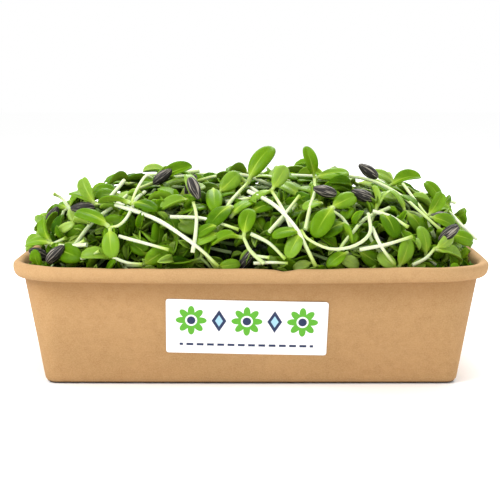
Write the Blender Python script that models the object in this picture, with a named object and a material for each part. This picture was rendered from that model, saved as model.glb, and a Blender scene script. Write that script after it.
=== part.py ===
# Cut sunflower shoots heaped in a pressed kraft-board tray with a paper label.
#
# The sizes below are in millimetres and the meshes are made in metres.
# The origin is the centre of the tray's base, on the table. +X runs along the
# tray, -Y is the side with the label and +Z is up.

import math
import random

import bmesh
import bpy
from mathutils import Vector
from mathutils.bvhtree import BVHTree

MM = 0.001
UP = Vector((0, 0, 1))
FRONT = Vector((0, -1, 0))
LAID = Vector((0, -1, 0.5)).normalized()    # the way laid shoots move to find room

# Tray
RIM_LENGTH = 190.5
RIM_DEPTH = 137.0
TRAY_HEIGHT = 48.5
BASE_HALF_LENGTH = 81.6
BASE_HALF_DEPTH = 48.6
BASE_RADIUS = 5.0
WALL_RADIUS = 18.0          # corner radius of the wall just under the rim
RIM_BOW = 7.5               # the long edges bulge this far at the rim
RIM_END_BOW = 1.0
BASE_BOW = 0.3
BOARD = 0.9                 # thickness of the board
BEAD_HEIGHT = 5.9           # the rolled rim
BEAD_REACH = 3.6
CORNER_STEPS = 5
LONG_STEPS = 8
SHORT_STEPS = 4

# Label, on the front wall
LABEL_LENGTH = 62.5
LABEL_HEIGHT = 22.3
LABEL_MIDDLE = (-1.6, 24.3)
LABEL_TURN = math.radians(-1.2)
LABEL_RADIUS = 1.0
LABEL_GAP = 0.35
LABEL_THICKNESS = 0.4
LABEL_COLUMNS = (-0.66, -0.33, 0.0, 0.33, 0.66)

# Heap: the outer face that the leaves follow, and the packed core under it
HEAP_HALF_LENGTH = 88.0
HEAP_HALF_DEPTH = 61.0
HEAP_FOOT = 44.0
HEAP_RISE = 31.5
HEAP_SQUARE_X = 4.0         # powers of the heap's rounded outline
HEAP_SQUARE_Y = 2.5
CREST_LINE = 16.0           # leaves over the crest keep this far to the front
FACE_GAP = 3.0              # laid shoots lie this far over the face
CORE_SINK = 10.0            # the core's dome lies this far under the face
CORE_CLEAR = 1.2            # between the core and the board
CORE_SHOULDER = 12.0        # the dome starts this far in from the plug's wall
CORE_POWER = 0.6            # below 1 the dome is flatter on top
CORE_LUMP = 1.3             # height of the bumps on the dome
LUMP_RATES = (0.31, 0.37)   # radians for each millimetre along and across
CORE_TOE = 4.0              # the plug's foot is this much narrower
CORE_TOE_TOP = 8.0
CORE_STEPS = 5

# Shoots
STEM_RADIUS = 1.0
LEAF_THICKNESS = 1.5
LEAF_ROWS = ((0.2, 0.55), (0.55, 1.0), (0.86, 0.66))   # place, share of the width
BED_LEAF_ROWS = ((0.32, 0.9), (0.78, 0.86))
TOP_BUILD = (4, 6, LEAF_ROWS)       # sides and points of the stem, rows of the leaf
BURIED_BUILD = (4, 5, LEAF_ROWS)
BED_BUILD = (3, 4, BED_LEAF_ROWS)
LEAF_SPREAD = 0.27          # half width as a share of the length
LEAF_ARCH = 0.10
LEAF_CUP = 0.16
TIP_OUT = 0.5               # the tips of laid leaves stand out this much more than the crown
LEAF_REACH = 5.0            # furthest a laid leaf runs towards or away from the front
TAIL_LENGTH = 12.0          # the cut end of a laid stem, tucked under the leaves
TAIL_SINK = 4.0
TAIL_LEVEL = 60.0           # stems that start lower show their own cut end
CLEARANCE = 0.35            # kept between any two nodes
RIM_ROOM = 3.4              # leaves over the rim reach this far past the wall
RIM_BAND = 1.0              # above the rim by this much they may
RIM_OUT = 2.5               # laid shoots keep this close to the heap beside the rim
RIM_SLOPE = 0.5             # and may stand out this much more for each millimetre above it
SETTLE_STEP = 0.6
SETTLE_TRIES = 29

# Shoots strewn by a rule: free ones on top, and a bed of rooted ones under them.
# The counts are the spots drawn, and what has no room at its spot is left out.
LOOSE_SHOOTS = 17           # for the back and the ends
LOOSE_HULLS = 3
LOOSE_LIFT = 3.5            # height of a crown over the face
LOOSE_REACH = 30.0          # length of the stem
LOOSE_SINK = 1.0            # depth of the cut end under the crown
BED_SKIRT = 46              # for the foot of the back and the ends
BED_ALL = 120               # for the whole heap
BED_FRONT = 70              # for its front
BED_LIFT = 2.0              # the bed's crowns lie this far either side of the face
BED_REACH = 16.0
BED_SINK = 13.0
BED_SHIFT = 4.0
STEM_BEND = ((1.0, 1.0, 0.0), (0.6, 0.4, 0.0), (0.25, 0.0, 0.5), (0.0, 0.0, 0.0))
BURIED_OUT = 2.0
SIDE_START = 70.0           # beyond this the heap turns down to the tray's ends
SKIRT_START = -10.0
SKIRT_TOP = 68.0
BED_FOOT = 50.0             # no crown of the bed lies lower
CLIMB_TOP = 66.0            # below this the shoots lean more and more upwards
CLIMB_RISE = 14.0
HEADING_SPREAD = 0.7
LEAF_LENGTHS = (11.5, 13.5)
LEAF_RISES = (-1.0, 4.5)
LEAF_ANGLES = (20.0, 75.0)  # between a leaf and its stem
LEAF_ROLL = 55.0
SPOT_DRAWS = 12
SPOT_REACH = 1.42           # the spots run to the sine of this share of the half lengths
SEED = 23

# Seed hulls
HULL_LENGTH = 9.6
HULL_WIDTH = 4.7
HULL_DEPTH = 3.9
HULL_ROWS = ((0.10, 0.42), (0.34, 0.86), (0.62, 1.0), (0.88, 0.62))
HULL_SIDES = 6

# Shoots laid by hand over the front, where (across, up) is a point on the heap's
# face. The stem runs from its cut end to the crown and each leaf ends at its tip.
# "out" is how far the whole shoot stands off the face and "turn" rolls each leaf
# round its own length, in degrees. A cut end that starts high up is tucked under
# the leaves, unless it shows.
FRONT_SHOOTS = (
    dict(stem=((-9, 67), (-5, 71), (-1, 74)), tips=((9, 88), (-14, 76)), turn=(30, 40), out=2),
    dict(stem=((23, 67), (25, 71), (26, 75)), tips=((22, 88), (40, 77)), turn=(-20, 30), out=4),
    dict(stem=((7, 60), (11, 63), (16, 67), (20, 71)), tips=((11, 76), (28, 67)), turn=(-10, 20), out=3),
    dict(stem=((14, 62), (11, 67), (8, 71)), tips=((14, 80), (0, 67)), turn=(50, 0), out=0),
    dict(stem=((38, 60), (35, 64), (30, 67)), tips=((23, 58), (41, 71)), turn=(0, 30), out=2),
    dict(stem=((45, 65), (45, 59), (39, 55), (30, 54), (22, 57), (19, 60)), tips=((8, 58), (14, 51)),
         turn=(20, 0), out=6, end_shows=True),
    dict(stem=((31, 50), (37, 53), (41, 55)), tips=((50, 49), (37, 63)), turn=(20, 0), out=2),
    dict(stem=((54, 49), (50, 53), (46, 58), (46, 62), (49, 67)), tips=((48, 76), (55, 74)),
         turn=(70, -50), out=4),
    dict(stem=((54, 68), (44, 65), (39, 61), (35, 57), (32, 52)), tips=((41, 49), (34, 44)),
         turn=(0, 0), out=9, end_shows=True),
    dict(stem=((49, 68), (53, 72), (57, 74)), tips=((70, 78), (64, 70)), turn=(40, 0), out=1),
    dict(stem=((71, 57), (69, 62), (65, 65), (60, 66)), tips=((55, 74), (67, 57)), turn=(20, 10), out=3),
    dict(stem=((39, 77), (50, 75), (60, 70), (68, 63), (75, 57)), tips=((86, 54), (70, 49)),
         turn=(20, -30), out=6),
    dict(stem=((62, 73), (65, 68), (69, 62)), tips=((75, 71), (79, 58)), turn=(10, 40), out=1,
         end_shows=True),
    dict(stem=((61, 48), (66, 50), (70, 53)), tips=((77, 58), (80, 48)), turn=(20, -20), out=4),
    dict(stem=((72, 46), (69, 49), (66, 51)), tips=((65, 61), (59, 46)), turn=(0, 0), out=2),
    dict(stem=((50, 45), (54, 46), (56, 47)), tips=((60, 57), (48, 52)), turn=(10, 0), out=1),
    dict(stem=((-52, 75), (-55, 71), (-58, 68), (-62, 67)), tips=((-72, 71), (-67, 77)),
         turn=(20, -20), out=2, end_shows=True),
    dict(stem=((-62, 54), (-70, 53), (-77, 53)), tips=((-80, 62), (-87, 52)), turn=(0, 30), out=2),
    dict(stem=((-45, 69), (-47, 64), (-50, 61), (-54, 60)), tips=((-67, 65), (-52, 50)),
         turn=(20, 0), out=5),
    dict(stem=((-50, 54), (-56, 55), (-61, 55)), tips=((-72, 56), (-71, 48)), turn=(20, 0), out=1),
    dict(stem=((-39, 47), (-38, 51), (-38, 54)), tips=((-36, 65), (-46, 58)), turn=(50, 0), out=7),
    dict(stem=((-43, 74), (-45, 70), (-46, 66)), tips=((-36, 64), (-59, 66)), turn=(0, 50), out=1),
    dict(stem=((-22, 53), (-21, 59), (-21, 65), (-23, 70)), tips=((-35, 66), (-25, 79)),
         turn=(0, 20), out=6),
    dict(stem=((0, 78), (-8, 79), (-16, 78), (-23, 76)), tips=((-34, 80), (-38, 72)), turn=(10, 0), out=1),
    dict(stem=((2, 70), (-7, 71), (-14, 72)), tips=((-14, 63), (-5, 80)), turn=(0, 40), out=4),
    dict(stem=((5, 49), (0, 53), (-2, 56), (-3, 58)), tips=((0, 67), (-15, 55)), turn=(0, 30), out=3),
    dict(stem=((-50, 58), (-39, 56), (-30, 54)), tips=((-21, 56), (-28, 45)), turn=(20, 60), out=3),
    dict(stem=((-53, 51), (-47, 49), (-41, 49)), tips=((-31, 55), (-35, 46)), turn=(20, 40), out=2),
    dict(stem=((-52, 69), (-38, 65), (-27, 60), (-19, 55), (-13, 48)), tips=((-4, 50), (-18, 46)),
         turn=(0, 0), out=8, end_shows=True),
    dict(stem=((0, 74), (6, 71), (12, 67), (17, 62), (20, 57), (24, 50)), tips=((16, 48), (28, 44)),
         turn=(0, 0), out=7, end_shows=True),
    dict(stem=((-61, 62), (-54, 67), (-47, 72), (-38, 75)), tips=((-24, 81), (-33, 71)),
         turn=(50, 0), out=3),
)

# Stems whose leaves are buried: the first point is sunk in the core.
BURIED_STEMS = (
    ((-39, 65), (-20, 64), (-5, 61)),
    ((38, 66), (50, 65), (60, 60)),
    ((43, 54), (52, 55), (61, 57)),
    ((-56, 56), (-60, 53), (-65, 50)),
    ((-62, 58), (-68, 54), (-74, 50)),
    ((0, 60), (7, 56), (13, 51)),
    ((20, 52), (12, 50), (1, 49)),
    ((-28, 76), (-14, 77), (0, 76)),
    ((-70, 61), (-75, 66), (-80, 70)),
)

# Hulls over the front: middle (across, up), heading and distance off the face.
FRONT_HULLS = (
    dict(at=(48, 79), heading=-35, out=4),
    dict(at=(29, 73), heading=-15, out=11),
    dict(at=(44, 71), heading=-22, out=9),
    dict(at=(-24, 74), heading=70, out=8),
    dict(at=(-36, 77), heading=38, out=5),
    dict(at=(-66, 66), heading=3, out=5),
    dict(at=(-74, 51), heading=45, out=5),
    dict(at=(-82, 49), heading=-20, out=3),
    dict(at=(-2, 50), heading=55, out=6),
    dict(at=(76, 55), heading=42, out=7),
    dict(at=(-44, 72), heading=-55, out=10),
    dict(at=(-80, 61), heading=60, out=4),
    dict(at=(75, 62), heading=-10, out=4),
)


def clear_scene():
    for item in list(bpy.data.objects):
        bpy.data.objects.remove(item, do_unlink=True)


def material(name, colour, roughness):
    made = bpy.data.materials.new(name)
    made.use_nodes = True
    shader = made.node_tree.nodes["Principled BSDF"]
    shader.inputs["Base Color"].default_value = (*colour, 1.0)
    shader.inputs["Roughness"].default_value = roughness
    shader.inputs["Metallic"].default_value = 0.0
    return made


def loft(rings):
    """A closed mesh through rings of points. A ring of one point is a pole."""
    bm = bmesh.new()
    rows = [[bm.verts.new(Vector(point)) for point in ring] for ring in rings]
    for lower, upper in zip(rows, rows[1:]):
        count = max(len(lower), len(upper))
        for i in range(count):
            j = (i + 1) % count
            corners = [lower[i % len(lower)], lower[j % len(lower)],
                       upper[j % len(upper)], upper[i % len(upper)]]
            bm.faces.new(list(dict.fromkeys(corners)))
    if len(rows[0]) > 2:
        bm.faces.new(rows[0][::-1])
    if len(rows[-1]) > 2:
        bm.faces.new(rows[-1])
    bmesh.ops.triangulate(bm, faces=bm.faces[:])
    bmesh.ops.recalc_face_normals(bm, faces=bm.faces[:])
    return bm


def tree_of(bm):
    return BVHTree.FromBMesh(bm)


def place(bm, name, finish):
    """Turn a mesh in millimetres into a scene object in metres."""
    bmesh.ops.scale(bm, vec=(MM, MM, MM), verts=bm.verts[:])
    mesh = bpy.data.meshes.new(name)
    bm.to_mesh(mesh)
    bm.free()
    item = bpy.data.objects.new(name, mesh)
    item.data.materials.append(finish)
    bpy.context.scene.collection.objects.link(item)
    return item


# ---------------------------------------------------------------- tray

def wall_at(height):
    """Half length, half depth, corner radius, bow and end bow of the outer wall."""
    share = height / TRAY_HEIGHT
    top = (RIM_LENGTH / 2 - RIM_END_BOW - BEAD_REACH,
           RIM_DEPTH / 2 - RIM_BOW - BEAD_REACH, WALL_RADIUS, RIM_BOW, RIM_END_BOW)
    base = (BASE_HALF_LENGTH, BASE_HALF_DEPTH, BASE_RADIUS, BASE_BOW, 0.0)
    return [low + (high - low) * share for low, high in zip(base, top)]


def tray_ring(height, offset):
    """The rounded, bowed rectangle of the wall at a height, moved out by offset."""
    half_x, half_y, radius, bow, end_bow = wall_at(height)
    half_x += offset
    half_y += offset
    radius += offset
    corners = ((1, 1), (-1, 1), (-1, -1), (1, -1))
    flat = []
    for index, (side_x, side_y) in enumerate(corners):
        middle = Vector((side_x * (half_x - radius), side_y * (half_y - radius)))
        for step in range(CORNER_STEPS + 1):
            angle = math.pi / 2 * (index + step / CORNER_STEPS)
            flat.append(middle + radius * Vector((math.cos(angle), math.sin(angle))))
        steps = LONG_STEPS if index % 2 == 0 else SHORT_STEPS
        start = flat[-1].copy()
        if index % 2 == 0:
            run = Vector((-2 * side_x * (half_x - radius), 0))
        else:
            run = Vector((0, -2 * side_y * (half_y - radius)))
        for step in range(1, steps):
            flat.append(start + run * (step / steps))
    ring = []
    for point in flat:
        x = point.x + math.copysign(end_bow * (1 - (point.y / half_y) ** 2), point.x)
        y = point.y + math.copysign(bow * (1 - (point.x / half_x) ** 2), point.y)
        ring.append(Vector((x, y, height)))
    return ring


def make_tray(finish):
    top = TRAY_HEIGHT
    bead = BEAD_HEIGHT
    reach = BEAD_REACH
    section = [
        (0.0, -2.4), (0.5, -0.9), (2.0, 0.0), (16.0, 0.0), (30.0, 0.0),
        (top - bead, 0.2),
        (top - bead * 0.97, reach * 0.45),
        (top - bead * 0.80, reach * 0.86),
        (top - bead * 0.48, reach),
        (top - bead * 0.17, reach * 0.84),
        (top, reach * 0.42),
        (top - 0.4, -0.1),
        (top - 2.0, -BOARD), (30.0, -BOARD), (16.0, -BOARD),
        (3.2, -BOARD), (1.4, -BOARD - 1.0), (BOARD, -BOARD - 2.6),
    ]
    bm = loft([tray_ring(height, offset) for height, offset in section])
    tree = tree_of(bm)
    return place(bm, "tray", finish), tree


def wall_point(across, up, offset):
    """A point on the bowed front wall, moved out by offset."""
    half_x, half_y, _, bow, _ = wall_at(up)
    return Vector((across, -(half_y + bow * (1 - (across / half_x) ** 2)) - offset, up))


def make_label(finish):
    half = LABEL_LENGTH / 2
    radius = LABEL_RADIUS
    ends = [(half - radius * (1 - math.sin(a)), radius * (1 - math.cos(a)))
            for a in (math.pi / 2, math.pi / 4, 0.0)]
    inner = half - radius
    columns = [(-along, trim) for along, trim in ends]
    columns += [(inner * share, 0.0) for share in LABEL_COLUMNS]
    columns += [(along, trim) for along, trim in reversed(ends)]
    cos, sin = math.cos(LABEL_TURN), math.sin(LABEL_TURN)
    rings = []
    for along, trim in columns:
        ring = []
        for up, offset in ((-1, 0.0), (1, 0.0), (1, LABEL_THICKNESS), (-1, LABEL_THICKNESS)):
            rise = up * (LABEL_HEIGHT / 2 - trim)
            across = LABEL_MIDDLE[0] + along * cos - rise * sin
            height = LABEL_MIDDLE[1] + along * sin + rise * cos
            ring.append(wall_point(across, height, LABEL_GAP + offset))
        rings.append(ring)
    return place(loft(rings), "label", finish)


# ---------------------------------------------------------------- heap

def heap_height(x, y):
    share = (1 - abs(x / HEAP_HALF_LENGTH) ** HEAP_SQUARE_X
             - abs(y / HEAP_HALF_DEPTH) ** HEAP_SQUARE_Y)
    return HEAP_FOOT + HEAP_RISE * math.sqrt(max(share, 0.0))


def heap_front(across, up, out=0.0):
    """The point over (across, up) on the heap's face, "out" in front of it."""
    share = (1 - abs(across / HEAP_HALF_LENGTH) ** HEAP_SQUARE_X
             - ((up - HEAP_FOOT) / HEAP_RISE) ** 2)
    y = -max(CREST_LINE, HEAP_HALF_DEPTH * max(share, 0.0) ** (1 / HEAP_SQUARE_Y))
    point = Vector((across, y, up))
    stand = min(out, RIM_OUT + (up - TRAY_HEIGHT) * RIM_SLOPE)
    return point + heap_normal(point) * FACE_GAP + FRONT * (stand - FACE_GAP)


def heap_normal(point):
    x = HEAP_SQUARE_X * abs(point.x / HEAP_HALF_LENGTH) ** (HEAP_SQUARE_X - 1)
    y = HEAP_SQUARE_Y * abs(point.y / HEAP_HALF_DEPTH) ** (HEAP_SQUARE_Y - 1)
    z = 2 * max(point.z - HEAP_FOOT, 0.0) / HEAP_RISE ** 2
    return Vector((math.copysign(x, point.x) / HEAP_HALF_LENGTH,
                   math.copysign(y, point.y) / HEAP_HALF_DEPTH, z)).normalized()


def make_core():
    """The packed greens under the leaves: a plug in the tray with a low dome."""
    against_board = -BOARD - CORE_CLEAR
    shoulder = HEAP_FOOT - CORE_SINK
    rings = [tray_ring(BOARD + CORE_CLEAR / 2, against_board - CORE_TOE),
             tray_ring(CORE_TOE_TOP, against_board),
             tray_ring(shoulder, against_board)]
    foot = tray_ring(HEAP_FOOT, against_board - CORE_SHOULDER)
    for step in range(CORE_STEPS):
        lean = math.pi / 2 * step / CORE_STEPS
        inward = math.cos(lean) ** CORE_POWER
        rise = (HEAP_RISE - CORE_SINK) * math.sin(lean)
        ring = []
        for point in foot:
            lump = (CORE_LUMP * math.sin(point.x * LUMP_RATES[0] + step)
                    * math.cos(point.y * LUMP_RATES[1] + step))
            ring.append(Vector((point.x * inward, point.y * inward, HEAP_FOOT + rise + lump)))
        rings.append(ring)
    rings.append([Vector((0, 0, HEAP_FOOT + HEAP_RISE - CORE_SINK))])
    return loft([ring[::2] if len(ring) > 1 else ring for ring in rings])


# ---------------------------------------------------------------- shoots

def smooth_path(points, count):
    """Evenly numbered points on a smooth curve through the given ones."""
    points = [Vector(point) for point in points]
    padded = [2 * points[0] - points[1], *points, 2 * points[-1] - points[-2]]
    path = []
    for index in range(count):
        place_on = index / (count - 1) * (len(points) - 1)
        piece = min(int(place_on), len(points) - 2)
        t = place_on - piece
        a, b, c, d = padded[piece:piece + 4]
        path.append(0.5 * (2 * b + (c - a) * t + (2 * a - 5 * b + 4 * c - d) * t ** 2
                           + (3 * b - a - 3 * c + d) * t ** 3))
    return path


def stem_mesh(path, sides, skin=0.0):
    radius = STEM_RADIUS + skin
    rings = []
    across = (path[1] - path[0]).orthogonal().normalized()
    for index, point in enumerate(path):
        ahead = path[min(index + 1, len(path) - 1)]
        behind = path[max(index - 1, 0)]
        along = (ahead - behind).normalized()
        across = (across - along * across.dot(along)).normalized()
        up = along.cross(across)
        rings.append([point + radius * (across * math.cos(math.tau * k / sides)
                                        + up * math.sin(math.tau * k / sides))
                      for k in range(sides)])
    return loft(rings)


def leaf_mesh(base, tip, facing, rows, skin=0.0):
    """A fleshy oval seed leaf, arched along its length and cupped across it."""
    along = tip - base
    length = along.length
    side = along.cross(facing).normalized()
    up = side.cross(along).normalized()
    half_width = length * LEAF_SPREAD
    half_thick = LEAF_THICKNESS / 2 + skin
    rings = [[base - along.normalized() * skin]]
    for share, width in rows:
        rise = up * (length * LEAF_ARCH * math.sin(math.pi * share))
        middle = base + along * share + rise
        edge = side * (half_width * width + skin)
        lift = up * (half_width * width * LEAF_CUP)
        rings.append([middle - edge + lift, middle - up * half_thick,
                      middle + edge + lift, middle + up * half_thick])
    rings.append([tip + along.normalized() * skin])
    return loft(rings)


def shoot_parts(shoot, shift, sides, steps, rows, skin=0.0):
    """The stem and the two leaves of one shoot, as closed meshes."""
    path = [point + shift for point in smooth_path(shoot["path"], steps)]
    parts = [stem_mesh(path, sides, skin)]
    crown = path[-1]
    back = (path[-1] - path[-2]).normalized()
    for tip, facing in shoot["leaves"]:
        parts.append(leaf_mesh(crown - back * STEM_RADIUS, tip + shift, facing, rows, skin))
    return parts


def rolled(facing, along, degrees):
    """The facing direction turned round a leaf's length."""
    angle = math.radians(degrees)
    side = along.normalized().cross(facing)
    return (facing * math.cos(angle) + side * math.sin(angle)).normalized()


def front_shoot(entry):
    path = [heap_front(across, up, entry["out"]) for across, up in entry["stem"]]
    if entry["stem"][0][1] > TAIL_LEVEL and not entry.get("end_shows"):
        tail = (path[0] - path[1]).normalized() * TAIL_LENGTH
        path.insert(0, path[0] + tail - heap_normal(path[0]) * TAIL_SINK)
    crown = path[-1]
    normal = heap_normal(crown)
    leaves = []
    for (across, up), turn in zip(entry["tips"], entry["turn"]):
        tip = heap_front(across, up, entry["out"] + TIP_OUT)
        tip.y = min(max(tip.y, crown.y - LEAF_REACH), crown.y + LEAF_REACH)
        leaves.append((tip, rolled(normal, tip - crown, turn)))
    return dict(path=path, leaves=leaves, lean=LAID)


def spread_spots(rng, crowns, count, wanted):
    """Random spots on the heap, each the furthest of a few from all the others."""
    spots = []
    while len(spots) < count:
        draws = []
        while len(draws) < SPOT_DRAWS:
            x = HEAP_HALF_LENGTH * math.sin(rng.uniform(-SPOT_REACH, SPOT_REACH))
            half_depth = HEAP_HALF_DEPTH * (1 - abs(x / HEAP_HALF_LENGTH) ** HEAP_SQUARE_X) ** (
                1 / HEAP_SQUARE_Y)
            y = half_depth * math.sin(rng.uniform(-SPOT_REACH, SPOT_REACH))
            if wanted(x, y):
                draws.append(Vector((x, y, heap_height(x, y))))
        others = crowns + spots
        spots.append(max(draws, key=lambda spot: min((spot - near).length for near in others)))
    return spots


def buried_stem(points):
    path = [heap_front(across, up, BURIED_OUT) for across, up in points]
    path[0] -= heap_normal(path[0]) * BED_SINK
    return dict(path=path, leaves=[], lean=LAID)


def strewn_shoot(rng, spot, lift, reach, sink):
    """A shoot at a spot on the heap, lying mostly along the tray and leaning up low down."""
    normal = heap_normal(spot)
    heading = rng.gauss(0.0, HEADING_SPREAD) + rng.choice((0.0, math.pi))
    climb = max(CLIMB_TOP - spot.z, 0.0) / CLIMB_RISE
    along = Vector((math.cos(heading), math.sin(heading), climb))
    along = (along - normal * along.dot(normal)).normalized()
    side = normal.cross(along)
    crown = spot + normal * lift
    path = [crown - along * (reach * back) + normal * (arch - sink * down)
            for back, down, arch in STEM_BEND]
    leaves = []
    for hand in (-1, 1):
        spread = math.radians(rng.uniform(*LEAF_ANGLES)) * hand
        length = rng.uniform(*LEAF_LENGTHS)
        rise = rng.uniform(*LEAF_RISES)
        tip = crown + (along * math.cos(spread) + side * math.sin(spread)) * length
        tip += normal * rise
        leaves.append((tip, rolled(normal, tip - crown, rng.uniform(-LEAF_ROLL, LEAF_ROLL))))
    return dict(path=path, leaves=leaves, lean=(normal + UP).normalized())


def inside_rim(parts):
    """True if no point leaves the rim's outline or comes near the board."""
    half_x, half_y, radius, bow, _ = wall_at(TRAY_HEIGHT)
    for bm in parts:
        for vert in bm.verts:
            x, y, z = abs(vert.co.x), abs(vert.co.y), vert.co.z
            room = RIM_ROOM if z > TRAY_HEIGHT + RIM_BAND else -BOARD - RIM_BAND
            limit_y = half_y + bow * (1 - min(x / half_x, 1.0) ** 2) + room
            limit_x = half_x + room
            if x > limit_x or y > limit_y:
                return False
            corner_x = max(x - (limit_x - radius), 0.0)
            corner_y = max(y - (half_y + room - radius), 0.0)
            if corner_x > 0 and corner_y > 0 and math.hypot(corner_x, corner_y) > radius:
                return False
    return True


def is_clear(parts, trees):
    own = [tree_of(bm) for bm in parts]
    return not any(part.overlap(tree) for part in own for tree in trees)


def above(parts, tree):
    for bm in parts:
        for vert in bm.verts:
            hit = tree.ray_cast(vert.co, UP)
            if hit[0] is not None:
                return False
    return True


def free_all(parts):
    for bm in parts:
        bm.free()


# ---------------------------------------------------------------- hulls

def hull_mesh(middle, along, facing, skin=0.0):
    """A pointed, flattened seed hull."""
    along = along.normalized()
    side = along.cross(facing).normalized()
    up = side.cross(along)
    start = middle - along * (HULL_LENGTH / 2)
    rings = [[start - along * skin]]
    for share, girth in HULL_ROWS:
        centre = start + along * (HULL_LENGTH * share)
        wide = HULL_WIDTH / 2 * girth + skin
        deep = HULL_DEPTH / 2 * girth + skin
        rings.append([centre + side * (wide * math.cos(math.tau * k / HULL_SIDES))
                      + up * (deep * math.sin(math.tau * k / HULL_SIDES))
                      for k in range(HULL_SIDES)])
    rings.append([start + along * (HULL_LENGTH + skin)])
    return loft(rings)


# ---------------------------------------------------------------- fusing

def fuse(name, base, parts, finish):
    """One solid from a base mesh and all the parts that grow through it."""
    item = place(base, name, finish)
    group = bpy.data.collections.new(name + "_parts")
    bpy.context.scene.collection.children.link(group)
    for index, bm in enumerate(parts):
        piece = place(bm, f"{name}_part_{index}", finish)
        bpy.context.scene.collection.objects.unlink(piece)
        group.objects.link(piece)
    union = item.modifiers.new("union", "BOOLEAN")
    union.operation = "UNION"
    union.operand_type = "COLLECTION"
    union.collection = group
    union.solver = "MANIFOLD"
    depsgraph = bpy.context.evaluated_depsgraph_get()
    fused = bpy.data.meshes.new_from_object(item.evaluated_get(depsgraph))
    item.modifiers.remove(union)
    item.data = fused
    for piece in list(group.objects):
        bpy.data.objects.remove(piece, do_unlink=True)
    bpy.data.collections.remove(group)
    keep_main_body(fused)
    return item


def keep_main_body(mesh):
    """Drop loose scraps and the skins of sealed hollows."""
    bm = bmesh.new()
    bm.from_mesh(mesh)
    bmesh.ops.triangulate(bm, faces=bm.faces[:])
    left = set(bm.faces)
    bodies = []
    while left:
        body = [left.pop()]
        for face in body:
            for edge in face.edges:
                for other in edge.link_faces:
                    if other in left:
                        left.remove(other)
                        body.append(other)
        bodies.append(body)
    bodies.sort(key=len)
    loose = [face for body in bodies[:-1] for face in body]
    bmesh.ops.delete(bm, geom=loose, context="FACES")
    bm.to_mesh(mesh)
    bm.free()


# ---------------------------------------------------------------- laying

class Heap:
    """What already lies on the heap, so that each new piece is laid clear of it."""

    def __init__(self, tray_tree, core_tree, green, shell):
        self.trees = [tray_tree]
        self.bed_trees = []
        self.core_tree = core_tree
        self.green = green
        self.shell = shell
        self.shoots = 0
        self.hulls = 0

    def settle(self, build, lean, rooted=False, apart=False):
        """The smallest move back or forth along the lean that clears everything, or None.

        A rooted shoot may run into the core, and into the bed unless it lies apart.
        """
        for step in range(SETTLE_TRIES):
            rise = SETTLE_STEP * ((step + 1) // 2) * (1 if step % 2 else -1)
            shift = lean * rise
            swollen = build(shift, CLEARANCE)
            clear = is_clear(swollen, self.trees) and inside_rim(swollen)
            if clear and apart:
                clear = is_clear(swollen, self.bed_trees)
            if clear and not rooted:
                clear = is_clear(swollen, [self.core_tree]) and above(swollen, self.core_tree)
            free_all(swollen)
            if clear:
                return shift
        return None

    def lay_shoot(self, shoot):
        def build(shift, skin=0.0):
            return shoot_parts(shoot, shift, *TOP_BUILD, skin)

        shift = self.settle(build, shoot["lean"])
        if shift is None:
            return
        parts = build(shift)
        self.trees += [tree_of(bm) for bm in parts]
        self.shoots += 1
        fuse(f"shoot_{self.shoots:02d}", parts[0], parts[1:], self.green)

    def lay_hull(self, middle, along, facing):
        """A hull with its wide side facing outwards."""
        along = (along - facing * along.dot(facing)).normalized()

        def build(shift, skin=0.0):
            return [hull_mesh(middle + shift, along, facing, skin)]

        shift = self.settle(build, facing)
        if shift is None:
            return
        hull = build(shift)[0]
        self.trees.append(tree_of(hull))
        self.hulls += 1
        place(hull, f"hull_{self.hulls:02d}", self.shell)

    def bury(self, shoot, how, apart):
        """The parts of a shoot that is rooted in the core, if there is room."""
        def build(shift, skin=0.0):
            return shoot_parts(shoot, shift, *how, skin)

        shift = self.settle(build, shoot["lean"], rooted=True, apart=apart)
        if shift is None or shift.length > BED_SHIFT:
            return []
        parts = build(shift)
        self.bed_trees += [tree_of(bm) for bm in parts]
        return parts


# ---------------------------------------------------------------- build

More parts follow.
